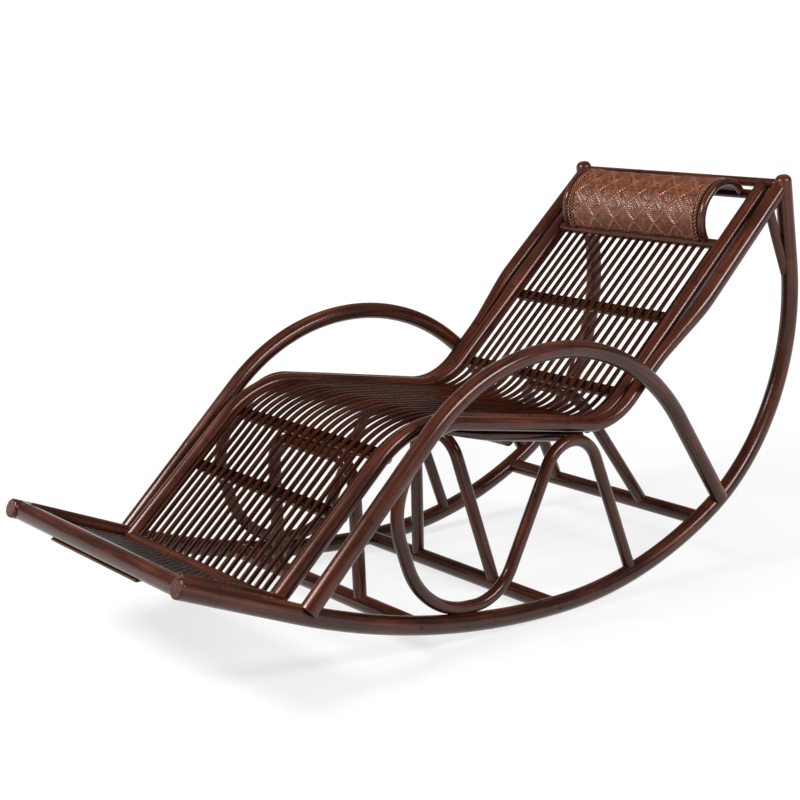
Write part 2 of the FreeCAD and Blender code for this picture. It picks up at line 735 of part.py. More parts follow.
# Headrest: two cross bars, two hoops and the woven shell between them
bar_rooms = []
for name, diameter, point in (
    ("headrest_lower_bar", "lower_bar_diameter", lower_bar),
    ("headrest_top_bar", "top_bar_diameter", top_bar),
):
    pole = cross_pole(name + "_pole", cell(diameter), cell("inner_y"), point)
    keep(name, cut(name, pole, inner_rooms))
    bar_rooms.append(cross_pole(name + "_room", grown(diameter), cell("inner_y"), point))
for side, sign in SIDES:
    hoop = bent_pole(f"hoop_{side}_pole", hoop_corners, cell("hoop_diameter"))
    hoop.Placement = tilted(lower_bar, back_angle)
    hoop.setExpression("Placement.Base.y", f"{sign}{cell('headrest_width')} / 2")
    keep(f"headrest_hoop_{side}", cut(f"hoop_{side}", hoop, bar_rooms))

shell = doc.addObject("PartDesign::Body", "shell_body")
shell_path = draw_path(shell, "shell_path", "XZ_Plane", hoop_corners)
shell_section = section_sketch(shell, shell_path, "shell_section")
CORNERS = [Vector(-1, -1, 0), Vector(1, -1, 0), Vector(1, 1, 0), Vector(-1, 1, 0)]
for start, end in zip(CORNERS, CORNERS[1:] + CORNERS[:1]):
    shell_section.addGeometry(Part.LineSegment(start, end))
for line in range(4):
    shell_section.addConstraint(Sketcher.Constraint("Coincident", line, 2, (line + 1) % 4, 1))
    kind = "Horizontal" if line % 2 == 0 else "Vertical"
    shell_section.addConstraint(Sketcher.Constraint(kind, line))
shell_section.addConstraint(Sketcher.Constraint("Symmetric", 0, 1, 1, 2, -1, 1))
shell_width = f"{cell('headrest_width')} - {cell('hoop_diameter')} - 2 * {cell('fit_gap')}"
bind_last(shell_section, Sketcher.Constraint("DistanceX", 0, 1, 0, 2, 2), "wall", cell("shell_wall"))
bind_last(shell_section, Sketcher.Constraint("DistanceY", 1, 1, 1, 2, 2), "across", shell_width)
sweep_section(shell, shell_section, shell_path, "shell_pipe")
shell.Placement = tilted(lower_bar, back_angle)
keep("headrest_shell", cut("headrest_shell", shell, bar_rooms))

# Braces between the scroll rails and the runners
for side, sign in SIDES:
    pole = side_bend(f"brace_{side}_pole", brace_corners, cell("brace_diameter"), "brace_y", sign)
    keep(f"head_brace_{side}", cut(f"brace_{side}", pole, [runner_rooms[side], scroll_rooms[side]]))

# Arches, each leaning from its stretcher to the batten above it
for place in ARCHES:
    arch_corners = [
        (f"{place}_arch_foot_left", "arch_foot_z"),
        (f"{place}_arch_shoulder_left", f"{place}_arch_height", "arch_bend"),
        (f"{place}_arch_shoulder", f"{place}_arch_height", "arch_bend"),
        (f"{place}_arch_foot", "arch_foot_z"),
    ]
    foot = stretcher_places[place]
    pole = bent_pole(f"{place}_arch_pole", arch_corners, cell("arch_diameter"), "YZ_Plane")
    pole.Placement = tilted(foot, arch_leans[place])
    room = cross_pole(f"{place}_stretcher_room", grown("stretcher_diameter"), cell("runner_y"), foot)
    keep(f"{place}_arch", cut(f"{place}_arch", pole, [room]))

# Footrest side poles, panel and lath
side_pole_front = along(front_bar, front_slope + 90, size("side_pole_rise"))
side_pole_tools = [rooms["footrest_front_bar"], rooms["footrest_rear_bar"]] + inner_rooms
for side, sign in SIDES:
    name = f"footrest_side_pole_{side}"
    pole = straight_pole(
        name + "_pole", cell("side_pole_diameter"), cell("bar_distance"),
        side_pole_front, rear_bar - front_bar,
    )
    pole.setExpression("Placement.Base.y", sign + cell("side_pole_y"))
    keep(name, cut(name, pole, side_pole_tools))


def tilted_plate(name, along_size, across_size, wall_size, inset, drop, slope):
    """A flat plate across the footrest at a slope, placed from the front bar."""
    plate = doc.addObject("Part::Box", name)
    plate.setExpression("Length", along_size)
    plate.setExpression("Width", across_size)
    plate.setExpression("Height", wall_size)
    corner = along(along(front_bar, slope, inset), slope - 90, drop)
    plate.Placement = tilted(corner, slope)
    plate.setExpression("Placement.Base.y", f"-({across_size}) / 2")
    return plate


bar_radii = f"({cell('front_bar_diameter')} + {cell('rear_bar_diameter')}) / 2"
panel = tilted_plate(
    "footrest_panel",
    f"{cell('bar_distance')} - {bar_radii} - 2 * {cell('fit_gap')}",
    f"2 * {cell('side_pole_y')} - {cell('side_pole_diameter')} - 2 * {cell('fit_gap')}",
    cell("panel_wall"),
    size("front_bar_diameter") / 2 + size("fit_gap"),
    size("panel_wall") / 2,
    front_slope,
)
keep("footrest_panel", panel)
lath = tilted_plate(
    "footrest_lath",
    cell("lath_width"),
    cell("lath_length"),
    cell("lath_wall"),
    -size("lath_width") / 2,
    size("front_bar_diameter") / 2 + size("fit_gap") + size("lath_wall"),
    size("lath_angle"),
)
keep("footrest_lath", lath)

doc.recompute()

# Checks and files
for item in doc.Objects:
    if "Invalid" in item.State or "Error" in item.State:
        raise RuntimeError(f"{item.Name} failed: {item.State}")
for name, item in nodes.items():
    if item.Shape.isNull() or not item.Shape.isValid():
        raise RuntimeError(f"{name} has no valid shape")
os.makedirs("parts", exist_ok=True)
for name, item in nodes.items():
    item.Shape.exportStep(f"parts/{name}.step")
    print(name, len(item.Shape.Solids), round(item.Shape.Volume))
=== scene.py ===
import math

import bpy
import numpy as np
from mathutils import Matrix, Vector


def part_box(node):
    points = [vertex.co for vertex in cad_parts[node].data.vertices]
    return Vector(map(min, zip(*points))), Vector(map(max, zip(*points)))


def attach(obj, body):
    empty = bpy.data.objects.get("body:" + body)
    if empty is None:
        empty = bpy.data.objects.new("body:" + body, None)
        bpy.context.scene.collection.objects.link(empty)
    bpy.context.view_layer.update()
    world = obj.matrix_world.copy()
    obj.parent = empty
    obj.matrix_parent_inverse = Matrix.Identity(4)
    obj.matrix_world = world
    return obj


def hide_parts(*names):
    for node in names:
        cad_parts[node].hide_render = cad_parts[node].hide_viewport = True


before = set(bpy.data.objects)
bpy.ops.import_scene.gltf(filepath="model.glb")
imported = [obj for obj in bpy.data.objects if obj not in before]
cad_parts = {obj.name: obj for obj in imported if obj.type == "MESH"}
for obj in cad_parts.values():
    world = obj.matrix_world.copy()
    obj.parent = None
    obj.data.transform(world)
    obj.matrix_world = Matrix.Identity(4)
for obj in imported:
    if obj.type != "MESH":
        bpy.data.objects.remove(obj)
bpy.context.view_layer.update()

# Rattan rocking chair, drawn over its CAD frame.
# Lines are written in millimetres, as in the part's own sizes, and turned to metres by MM.

MM = 0.001
BODY = "root"
SIDES = (("left", -1.0), ("right", 1.0))
PIECE_SEED = 41
rng = np.random.default_rng(PIECE_SEED)

X_AXIS = np.array((1.0, 0.0, 0.0))
Y_AXIS = np.array((0.0, 1.0, 0.0))

# Side view lines: x, z and the radius of the bend at each corner
RUNNER = [(-953, 269, 0), (-388, 29.59, 1840), (229, 12.99, 1000), (802, 305, 502.7), (680.98, 886.44, 0)]
ARM = [(-686.25, 164.06, 0), (-303, 535, 456), (146, 624.4, 510), (493.22, 158.64, 0)]
PANEL = [(-715.45, 168.34, 0), (-389.59, 466.16, 220), (155, 376, 165), (688.14, 861.98, 0)]
CANE = [(-705.1, 177.8, 0), (-389.59, 466.16, 220), (155, 376, 165), (537, 724.2, 0)]
BRACE = [(639.81, 817.92, 0), (675.98, 742.04, 220), (731.44, 632.04, 0)]
BEARER = [(91.18, 357.88, 0), (-200, 406.1, 400), (-318, 432.5, 0)]
HEADREST = [(0, 0, 0), (0, 82, 76), (160, 82, 76), (160, 0, 0)]
# The scroll rail leaves its plane: x, y, z and radius
SCROLL = [
    (680.98, 304, 855.44, 0), (409.97, 308, 608.41, 500), (291.72, 287.7, 500.63, 500),
    (155, 287.7, 376, 165), (-341.25, 287.7, 458.15, 110), (-481, 302, 328, 142),
    (-395, 304, 81.56, 177), (-189, 304, 66.29, 110), (24.8, 298, 475.05, 80), (208, 307, 41, 0),
]
# Thickness along scroll rail, inner rail and bearer from their first ends: metres, share of the full pole
SCROLL_TAPER = ((0.0, 0.36, 0.50, 1.05, 1.30, 3.0), (1.30, 1.30, 1.0, 1.0, 0.92, 0.90))
RAIL_TAPER = ((0.0, 0.30, 0.42, 1.10, 1.30, 2.0), (1.06, 1.06, 1.0, 1.0, 1.15, 1.15))
BEARER_TAPER = ((0.0, 0.26, 0.43), (1.0, 1.0, 0.34))
# Arches in their own leaning plane: foot, shoulder, height, stretcher x and z, lean in degrees
ARCHES = {
    "front_arch": (140, 136, 297.84, -420, 70.37, 2.641),
    "middle_arch": (128, 58, 338.4, -35, 20.09, 11.8119),
    "rear_arch": (141, 84, 336.72, 436, 118.75, 32.9485),
}
ARCH_BEND = 62
LOWER_BAR = (544.48, 731.02)
BACK_ANGLE = math.radians(42.35)
FRONT_BAR = (-930.9, 259.64)
REAR_BAR = (-715.45, 168.34)
# Places from the centre plane, and thicknesses
RUNNER_Y, RUNNER_THICK = 310, 39
ARM_Y, ARM_THICK = 321, 37
INNER_RAIL_Y, INNER_RAIL_THICK = 257.4, 31
BEARER_THICK = 25
BRACE_Y, BRACE_THICK = 305, 22
SCROLL_THICK = 29
ARCH_THICK = 28
HOOP_Y, HOOP_THICK = 212, 18
CANE_COUNT, CANE_EDGE_Y, CANE_THICK = 20, 231.9, 10


# Fineness of lines, in metres: step along arcs, least step kept, reach for a direction
ARC_STEP = 0.001
SAME_PLACE = 1e-9
NUDGE = 2e-4
# Unevenness of a pole as shares of its radius: slow swelling, and a ring with a groove at each knot
SLOW_SWELL = 0.004
SWELL_PACE = (9, 14)
PHASE = (0, 6)
KNOT_RING, KNOT_RING_REACH = 0.014, 0.007
KNOT_GROOVE, KNOT_GROOVE_REACH = 0.010, 0.0022
KNOT_STAIN_REACH = 0.004
FIRST_KNOT = (0.05, 0.3)
KNOT_PITCH = (0.27, 0.36)
GRAIN_START = (0, 40)


# Lines and sweeps
def unit(v):
    """Each row divided by its own length."""
    v = np.asarray(v, float)
    return v / np.linalg.norm(v, axis=-1, keepdims=True)


def side_points(corners, y):
    """Corners of the side view as points in metres in an upright plane at y, with their radii."""
    rows = np.array(corners, float)
    points = np.column_stack([rows[:, 0], np.full(len(rows), y), rows[:, 1]])
    return points * MM, rows[:, 2] * MM


def rounded_line(points, radii):
    """A line through corners with an arc at each: the arc leaves the way in, a, at the reach
    R tan(turn / 2) before the corner, and follows corner - reach a + R sin(t) a + R (1 - cos t) n,
    where n is the part of the way out that is square to a."""
    chain = [points[:1]]
    for before, corner, after, radius in zip(points[:-2], points[1:-1], points[2:], radii[1:-1]):
        way_in, way_out = unit(corner - before), unit(after - corner)
        turn = math.acos(np.clip(way_in @ way_out, -1, 1))
        inward = unit(way_out - (way_in @ way_out) * way_in)
        t = np.linspace(0, turn, max(4, int(radius * turn / ARC_STEP)))[:, None]
        start = corner - way_in * radius * math.tan(turn / 2)
        chain.append(start + radius * (np.sin(t) * way_in + (1 - np.cos(t)) * inward))
    chain.append(points[-1:])
    return np.vstack(chain)


def walk(line, places):
    """Points and directions at distances along a line."""
    steps = np.linalg.norm(np.diff(line, axis=0), axis=1)
    keep = np.concatenate([[True], steps > SAME_PLACE])
    line = line[keep]
    far = np.concatenate([[0], np.cumsum(np.linalg.norm(np.diff(line, axis=0), axis=1))])
    here = np.column_stack([np.interp(places, far, line[:, k]) for k in range(3)])
    ahead = np.column_stack([np.interp(places + NUDGE, far, line[:, k]) for k in range(3)])
    behind = np.column_stack([np.interp(places - NUDGE, far, line[:, k]) for k in range(3)])
    return here, unit(ahead - behind)


def length_of(line):
    """The length of a line of points."""
    return np.linalg.norm(np.diff(line, axis=0), axis=1).sum()


def put_mesh(name, points, quads, caps, attributes):
    """Puts whole arrays into a mesh: points, four-sided faces and flat many-sided ends."""
    mesh = bpy.data.meshes.new(name)
    loops = np.concatenate([quads.ravel(), *caps]).astype(np.int32)
    sizes = np.concatenate([np.full(len(quads), 4), [len(cap) for cap in caps]]).astype(np.int32)
    starts = np.concatenate([[0], np.cumsum(sizes)[:-1]]).astype(np.int32)
    mesh.vertices.add(len(points))
    mesh.vertices.foreach_set("co", points.astype(np.float32).ravel())
    mesh.loops.add(len(loops))
    mesh.loops.foreach_set("vertex_index", loops)
    mesh.polygons.add(len(sizes))
    mesh.polygons.foreach_set("loop_start", starts)
    mesh.polygons.foreach_set("use_smooth", np.arange(len(sizes)) < len(quads))
    mesh.update(calc_edges=True)
    for key, values in attributes.items():
        kind, field = ("FLOAT_VECTOR", "vector") if values.ndim == 2 else ("FLOAT", "value")
        layer = mesh.attributes.new(key, kind, "POINT")
        layer.data.foreach_set(field, values.astype(np.float32).ravel())
    mesh.validate()
    piece = bpy.data.objects.new(name, mesh)
    bpy.context.scene.collection.objects.link(piece)
    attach(piece, BODY)
    return piece


def ring_quads(rings, sides):
    """Faces of a grid of rings, closed round each ring."""
    ring, side = np.meshgrid(np.arange(rings - 1), np.arange(sides), indexing="ij")
    beside = (side + 1) % sides
    here, ahead = ring * sides, (ring + 1) * sides
    corners = (here + side, here + beside, ahead + beside, ahead + side)
    return np.stack(corners, axis=-1).reshape(-1, 4)


def sweep(
    name, line, half, across, rounding=(0.002, 0.002), sides=28, step=0.006, squareness=1.0, knots=True,
    taper=((0.0,), (1.0,)),
):
    """A section carried along a line: point = line(s) + swell(s) (a cos^e side + b sin^e up), where
    side is the across direction made square to the line, and up is square to both. The section draws
    in at each end along a quarter round, and swells a little at the knots of the pole."""
    whole = length_of(line)
    quarter = np.linspace(0, math.pi / 2, 6)
    first, last = (r * (1 - np.cos(quarter)) for r in rounding)
    middle = np.linspace(rounding[0], whole - rounding[1], max(3, int(whole / step)))[1:-1]
    s = np.concatenate([first, middle, (whole - last)[::-1]])
    here, ahead = walk(line, s)
    side = unit(across - (ahead @ across)[:, None] * ahead)
    up = np.cross(ahead, side)
    half = np.broadcast_to(half, 2)
    drawn = np.zeros(len(s))
    drawn[: len(first)] = rounding[0] * (1 - np.sin(quarter))
    drawn[-len(last):] = (rounding[1] * (1 - np.sin(quarter)))[::-1]
    swell = np.interp(s, *taper) + SLOW_SWELL * np.sin(s * rng.uniform(*SWELL_PACE) + rng.uniform(*PHASE))
    knot_start, knot_pitch = rng.uniform(*FIRST_KNOT), rng.uniform(*KNOT_PITCH)
    from_knot = (s - knot_start + knot_pitch / 2) % knot_pitch - knot_pitch / 2
    if knots:
        swell += KNOT_RING * np.exp(-(from_knot / KNOT_RING_REACH) ** 2)
        swell -= KNOT_GROOVE * np.exp(-(from_knot / KNOT_GROOVE_REACH) ** 2)
    angle = np.arange(sides) * 2 * math.pi / sides
    flat_cos = np.sign(np.cos(angle)) * np.abs(np.cos(angle)) ** squareness
    flat_sin = np.sign(np.sin(angle)) * np.abs(np.sin(angle)) ** squareness
    wide = ((half[0] - drawn) * swell)[:, None] * flat_cos
    tall = ((half[1] - drawn) * swell)[:, None] * flat_sin
    points = here[:, None] + wide[..., None] * side[:, None] + tall[..., None] * up[:, None]
    offset = rng.uniform(*GRAIN_START)
    grain = np.stack([np.broadcast_to((s + offset)[:, None], wide.shape), wide, tall], axis=-1)
    knot_mask = np.broadcast_to(np.exp(-(from_knot / KNOT_STAIN_REACH) ** 2)[:, None], wide.shape)
    caps = (np.arange(sides)[::-1], (len(s) - 1) * sides + np.arange(sides))
    return put_mesh(
        name, points.reshape(-1, 3), ring_quads(len(s), sides), caps,
        {"grain": grain.reshape(-1, 3), "knot": knot_mask.ravel() * float(knots)},
    )


def dress(piece, material, slot, *nodes):
    """Gives a piece its material, in place of its CAD nodes. The slot is not used."""
    piece.data.materials.append(material)
    if nodes:
        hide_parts(*nodes)
    return piece


# Materials
def new_material(name):
    """A material with its nodes, links and the shader."""
    material = bpy.data.materials.new(name)
    material.use_nodes = True
    tree = material.node_tree
    return material, tree.nodes, tree.links, tree.nodes["Principled BSDF"]


def add_node(nodes, kind, **values):
    """A node with some of its properties set."""
    node = nodes.new(kind)
    for key, value in values.items():
        setattr(node, key, value)
    return node


def ramp(nodes, stops):
    """A colour ramp with stops of place and colour."""
    node = nodes.new("ShaderNodeValToRGB")
    points = node.color_ramp.elements
    while len(points) < len(stops):
        points.new(0.5)
    for point, (place, colour) in zip(points, stops):
        point.position = place
        point.color = (*colour, 1)
    return node


def new_group(name, colours, values):
    """A node group with colour inputs, value inputs and the outputs Color, Roughness and Height."""
    group = bpy.data.node_groups.new(name, "ShaderNodeTree")
    face = group.interface
    for key in colours:
        face.new_socket(key, in_out="INPUT", socket_type="NodeSocketColor")
    for key in values:
        face.new_socket(key, in_out="INPUT", socket_type="NodeSocketFloat")
    face.new_socket("Color", in_out="OUTPUT", socket_type="NodeSocketColor")
    face.new_socket("Roughness", in_out="OUTPUT", socket_type="NodeSocketFloat")
    face.new_socket("Height", in_out="OUTPUT", socket_type="NodeSocketFloat")
    given, result = group.nodes.new("NodeGroupInput"), group.nodes.new("NodeGroupOutput")
    return group, group.nodes, group.links, given, result


def noise_at(nodes, links, place, scale, detail, rough):
    """Noise on a place stretched by its own scale."""
    mapping = add_node(nodes, "ShaderNodeMapping")
    mapping.inputs["Scale"].default_value = scale
    noise = add_node(nodes, "ShaderNodeTexNoise")
    noise.inputs["Scale"].default_value = 1.0
    noise.inputs["Detail"].default_value = detail
    noise.inputs["Roughness"].default_value = rough
    links.new(place, mapping.inputs["Vector"])
    links.new(mapping.outputs["Vector"], noise.inputs["Vector"])
    return noise.outputs["Fac"]


def spread(nodes, links, value, low, high, to_low, to_high):
    """A value drawn from one range into another; the new ends may be sockets or numbers."""
    node = add_node(nodes, "ShaderNodeMapRange")
    node.inputs["From Min"].default_value = low
    node.inputs["From Max"].default_value = high
    for key, end in (("To Min", to_low), ("To Max", to_high)):
        if isinstance(end, float):
            node.inputs[key].default_value = end
        else:
            links.new(end, node.inputs[key])
    links.new(value, node.inputs["Value"])
    return node.outputs["Result"]


def blend(nodes, links, share, first, second):
    """One colour over another by a share."""
    node = add_node(nodes, "ShaderNodeMix", data_type="RGBA")
    links.new(share, node.inputs["Factor"])
    links.new(first, node.inputs["A"])
    links.new(second, node.inputs["B"])
    return node.outputs["Result"]


# Fineness of the stain along and across a pole, and of the mottling of strips
STREAK_SCALE = (5.0, 150.0, 150.0)
CLOUD_SCALE = (7.0, 18.0, 18.0)
FINE_SCALE = (12.0, 90.0, 90.0)
MOTTLE_SCALE = (70.0, 70.0, 70.0)
# Added roughness in clouds of stain and down between the strips
CLOUD_DULLER = 0.09
CREVICE_DULLER = 0.3
BUMP_HEIGHT = 0.0002


def lacquer_group():
    """Stained and lacquered rattan on the pole's own straightened place: streaks of three browns
    along the pole, broad clouds of stain, dark knots, and a gloss that changes with the clouds."""
    group, nodes, links, given, result = new_group(
        "lacquered_rattan", ("Dark", "Body", "Light"), ("Gloss",)
    )
    place = add_node(nodes, "ShaderNodeAttribute", attribute_name="grain").outputs["Vector"]
    knot = add_node(nodes, "ShaderNodeAttribute", attribute_name="knot").outputs["Fac"]
    streak = noise_at(nodes, links, place, STREAK_SCALE, 4.0, 0.6)
    cloud = noise_at(nodes, links, place, CLOUD_SCALE, 3.0, 0.55)
    fine = noise_at(nodes, links, place, FINE_SCALE, 2.0, 0.5)
    to_body = spread(nodes, links, streak, 0.30, 0.52, 0.0, 1.0)
    to_light = spread(nodes, links, streak, 0.52, 0.80, 0.0, 1.0)
    stained = spread(nodes, links, cloud, 0.36, 0.62, 0.65, 0.0)
    scarred = spread(nodes, links, knot, 0.0, 1.0, 0.0, 0.6)
    colour = blend(nodes, links, to_body, given.outputs["Dark"], given.outputs["Body"])
    colour = blend(nodes, links, to_light, colour, given.outputs["Light"])
    colour = blend(nodes, links, stained, colour, given.outputs["Dark"])
    colour = blend(nodes, links, scarred, colour, given.outputs["Dark"])
    duller = add_node(nodes, "ShaderNodeMath", operation="ADD")
    duller.inputs[1].default_value = CLOUD_DULLER
    links.new(given.outputs["Gloss"], duller.inputs[0])
    links.new(colour, result.inputs["Color"])
    gloss = spread(nodes, links, cloud, 0.3, 0.7, given.outputs["Gloss"], duller.outputs["Value"])
    links.new(gloss, result.inputs["Roughness"])
    links.new(fine, result.inputs["Height"])
    return group


def woven_group():
    """Woven rattan strips: each has its own tone, mottled, and is painted with shade where it dives under
    the next.
    """
    group, nodes, links, given, result = new_group(
        "woven_rattan", ("Painted Shade", "Strip Dark", "Strip Light And Highlight"), ("Gloss",)
    )
    relief_and_shade = add_node(nodes, "ShaderNodeAttribute", attribute_name="relief_and_shade").outputs["Fac"]
    tone = add_node(nodes, "ShaderNodeAttribute", attribute_name="tone").outputs["Fac"]
    place = add_node(nodes, "ShaderNodeTexCoord").outputs["Object"]
    mottle = noise_at(nodes, links, place, MOTTLE_SCALE, 3.0, 0.55)
    mixed = add_node(nodes, "ShaderNodeMath", operation="ADD")
    links.new(tone, mixed.inputs[0])
    links.new(spread(nodes, links, mottle, 0.3, 0.7, -0.25, 0.25), mixed.inputs[1])
    share = spread(nodes, links, mixed.outputs["Value"], 0.0, 1.0, 0.0, 1.0)
    strips = blend(nodes, links, share, given.outputs["Strip Dark"], given.outputs["Strip Light And Highlight"])
    # Painted shade: the dark crevice colour where the strips lie low
    links.new(blend(nodes, links, relief_and_shade, given.outputs["Painted Shade"], strips), result.inputs["Color"])
    duller = add_node(nodes, "ShaderNodeMath", operation="ADD")
    duller.inputs[1].default_value = CREVICE_DULLER
    links.new(given.outputs["Gloss"], duller.inputs[0])
    gloss = spread(nodes, links, relief_and_shade, 0.2, 1.0, duller.outputs["Value"], given.outputs["Gloss"])
    links.new(gloss, result.inputs["Roughness"])
    links.new(mottle, result.inputs["Height"])
    return group


LACQUER = lacquer_group()
WOVEN = woven_group()


def rattan(name, group, colours, gloss, shine, shine_tint, unevenness):
    """A rattan material: one of the two groups with its own colours, the strength and tint of its shine,
    and how uneven its surface is."""
    material, nodes, links, shader = new_material(name)
    looks = add_node(nodes, "ShaderNodeGroup", node_tree=group)
    for key, colour in colours.items():
        looks.inputs[key].default_value = (*colour, 1)
    looks.inputs["Gloss"].default_value = gloss
    bump = add_node(nodes, "ShaderNodeBump")
    bump.inputs["Strength"].default_value = unevenness
    bump.inputs["Distance"].default_value = BUMP_HEIGHT
    links.new(looks.outputs["Height"], bump.inputs["Height"])
    links.new(bump.outputs["Normal"], shader.inputs["Normal"])
    links.new(looks.outputs["Color"], shader.inputs["Base Color"])
    links.new(looks.outputs["Roughness"], shader.inputs["Roughness"])
    shader.inputs["Specular IOR Level"].default_value = shine
    shader.inputs["Specular Tint"].default_value = (*shine_tint, 1)
    return material


POLE = rattan(
    "pole_lacquer", LACQUER,
    {"Dark": (0.013, 0.0028, 0.0014), "Body": (0.088, 0.0188, 0.0074), "Light": (0.215, 0.059, 0.024)},
    gloss=0.17, shine=0.46, shine_tint=(1.0, 0.84, 0.80), unevenness=0.02,
)
CANE_FINISH = rattan(
    "cane_lacquer", LACQUER,
    {"Dark": (0.012, 0.0028, 0.0013), "Body": (0.050, 0.0115, 0.0046), "Light": (0.120, 0.034, 0.014)},
    gloss=0.22, shine=0.08, shine_tint=(1.0, 0.70, 0.60), unevenness=0.02,
)
# In the woven materials the crevice colour is painted shade, and the light strip colour also carries the
# painted highlight on the headrest's ridges and on the footrest's raised strips
WEAVE = rattan(
    "headrest_weave", WOVEN,
    {"Painted Shade": (0.014, 0.0032, 0.0013), "Strip Dark": (0.088, 0.022, 0.0084),
     "Strip Light And Highlight": (0.310, 0.103, 0.047)},
    gloss=0.17, shine=0.62, shine_tint=(1.0, 0.88, 0.86), unevenness=0.12,
)
PLAIT = rattan(
    "headrest_plait", WOVEN,
    {"Painted Shade": (0.010, 0.0024, 0.0012), "Strip Dark": (0.085, 0.024, 0.0110),
     "Strip Light And Highlight": (0.260, 0.095, 0.050)},
    gloss=0.16, shine=0.60, shine_tint=(1.0, 0.86, 0.82), unevenness=0.12,
)
FOOT_WEAVE = rattan(
    "footrest_weave", WOVEN,
    {"Painted Shade": (0.0040, 0.0018, 0.0012), "Strip Dark": (0.010, 0.0042, 0.0030),
     "Strip Light And Highlight": (0.160, 0.118, 0.110)},
    gloss=0.35, shine=0.05, shine_tint=(1.0, 0.85, 0.80), unevenness=0.12,
)


def screw_metal():
    """Dark screw ends, mottled with wear."""
    material, nodes, links, shader = new_material("screw_metal")
    place = add_node(nodes, "ShaderNodeTexCoord")
    wear = add_node(nodes, "ShaderNodeTexNoise")
    wear.inputs["Scale"].default_value = 400.0
    links.new(place.outputs["Object"], wear.inputs["Vector"])
    tones = ramp(nodes, [(0.35, (0.012, 0.010, 0.009)), (0.75, (0.060, 0.050, 0.045))])
    links.new(wear.outputs["Fac"], tones.inputs["Fac"])
    links.new(tones.outputs["Color"], shader.inputs["Base Color"])
    rough = add_node(nodes, "ShaderNodeMapRange")
    rough.inputs["To Min"].default_value = 0.3
    rough.inputs["To Max"].default_value = 0.6
    links.new(wear.outputs["Fac"], rough.inputs["Value"])
    links.new(rough.outputs["Result"], shader.inputs["Roughness"])
    shader.inputs["Metallic"].default_value = 0.8
    return material


# Bent poles of both sides
def side_pole(node, corners, y, diameter, **shape):
    """A bent pole in an upright plane beside the seat."""
    points, radii = side_points(corners, y)
    piece = sweep(node + "_pole", rounded_line(points, radii), diameter / 2 * MM, Y_AXIS, **shape)
    return dress(piece, POLE, "pole", node)


for side, sign in SIDES:
    side_pole(f"runner_{side}", RUNNER, sign * RUNNER_Y, RUNNER_THICK, rounding=(0.004, 0.015), sides=40)
    side_pole(f"arm_{side}", ARM, sign * ARM_Y, ARM_THICK, sides=40)
    side_pole(f"inner_rail_{side}", PANEL, sign * INNER_RAIL_Y, INNER_RAIL_THICK, sides=32, taper=RAIL_TAPER)
    side_pole(
        f"seat_bearer_{side}", BEARER, sign * INNER_RAIL_Y, BEARER_THICK,
        rounding=(0.008, 0.002), taper=BEARER_TAPER,
    )
    side_pole(f"head_brace_{side}", BRACE, sign * BRACE_Y, BRACE_THICK)
    rows = np.array(SCROLL, float) * MM
    scroll_points = rows[:, :3] * (1, sign, 1)
    scroll_path = rounded_line(scroll_points, rows[:, 3])
    scroll = sweep(
        f"scroll_rail_{side}_pole", scroll_path, SCROLL_THICK / 2 * MM, Y_AXIS, sides=32, taper=SCROLL_TAPER
    )
    dress(scroll, POLE, "pole", f"scroll_rail_{side}")


# Cross poles, from their CAD boxes
CROSS_POLES = (
    "head_rail", "headrest_top_bar", "headrest_lower_bar", "back_batten_upper", "back_batten_lower",
    "seat_batten_rear", "seat_batten_front", "leg_batten_upper", "leg_batten_lower", "front_stretcher",
    "middle_stretcher", "rear_stretcher", "footrest_front_bar", "footrest_rear_bar",
)
BATTEN_END = 0.012  # part of a batten that lies under the inner rail
for node in CROSS_POLES:
    low, high = (np.array(corner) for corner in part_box(node))
    middle = (low + high) / 2
    hidden = BATTEN_END if "batten" in node else 0.0
    ends = np.array([[middle[0], low[1] + hidden, middle[2]], [middle[0], high[1] - hidden, middle[2]]])
    pole = sweep(node + "_pole", ends, (high[2] - low[2]) / 2, X_AXIS)
    dress(pole, POLE, "pole", node)


def leaning(corners, origin, angle, y):
    """Corners of a leaning plane as points: along its first direction, and square to it."""
    rows = np.array(corners, float)
    ahead = np.array((math.cos(angle), 0, math.sin(angle)))
    square = np.array((-math.sin(angle), 0, math.cos(angle)))
    base = np.array((origin[0], y, origin[1]))
    return (base + rows[:, :1] * ahead + rows[:, 1:2] * square) * MM, rows[:, 2] * MM


# Arches
for node, (foot, shoulder, height, x, z, lean) in ARCHES.items():
    tilt = math.radians(lean)
    up = np.array((-math.sin(tilt), 0, math.cos(tilt)))
    base = np.array((x, 0, z), float)
    corners = np.array([
        base - foot * Y_AXIS, base - shoulder * Y_AXIS + height * up,
        base + shoulder * Y_AXIS + height * up, base + foot * Y_AXIS,
    ]) * MM
    bends = np.array((0, ARCH_BEND, ARCH_BEND, 0)) * MM
    arch = sweep(node + "_pole", rounded_line(corners, bends), ARCH_THICK / 2 * MM, X_AXIS)
    dress(arch, POLE, "pole", node)

# Headrest hoops
for side, sign in SIDES:
    points, radii = leaning(HEADREST, LOWER_BAR, BACK_ANGLE, sign * HOOP_Y)
    hoop_line = rounded_line(points, radii)
    hoop = sweep(f"headrest_hoop_{side}_pole", hoop_line, HOOP_THICK / 2 * MM, Y_AXIS, step=0.004)
    dress(hoop, POLE, "pole", f"headrest_hoop_{side}")

# Canes, each a little wavy
CANE_WAVE = 0.0006
CANE_WAVE_PACE = (4, 8)
for number, y in enumerate(np.linspace(-CANE_EDGE_Y, CANE_EDGE_Y, CANE_COUNT), start=1):
    points, radii = side_points(CANE, y)
    line = rounded_line(points, radii)
    far = np.concatenate([[0], np.cumsum(np.linalg.norm(np.diff(line, axis=0), axis=1))])
    line[:, 1] += CANE_WAVE * np.sin(far * rng.uniform(*CANE_WAVE_PACE) + rng.uniform(*PHASE))
    cane = sweep(f"cane_{number:02d}_strand", line, CANE_THICK / 2 * MM, Y_AXIS, sides=14, step=0.009)
    dress(cane, CANE_FINISH, "cane", f"cane_{number:02d}")


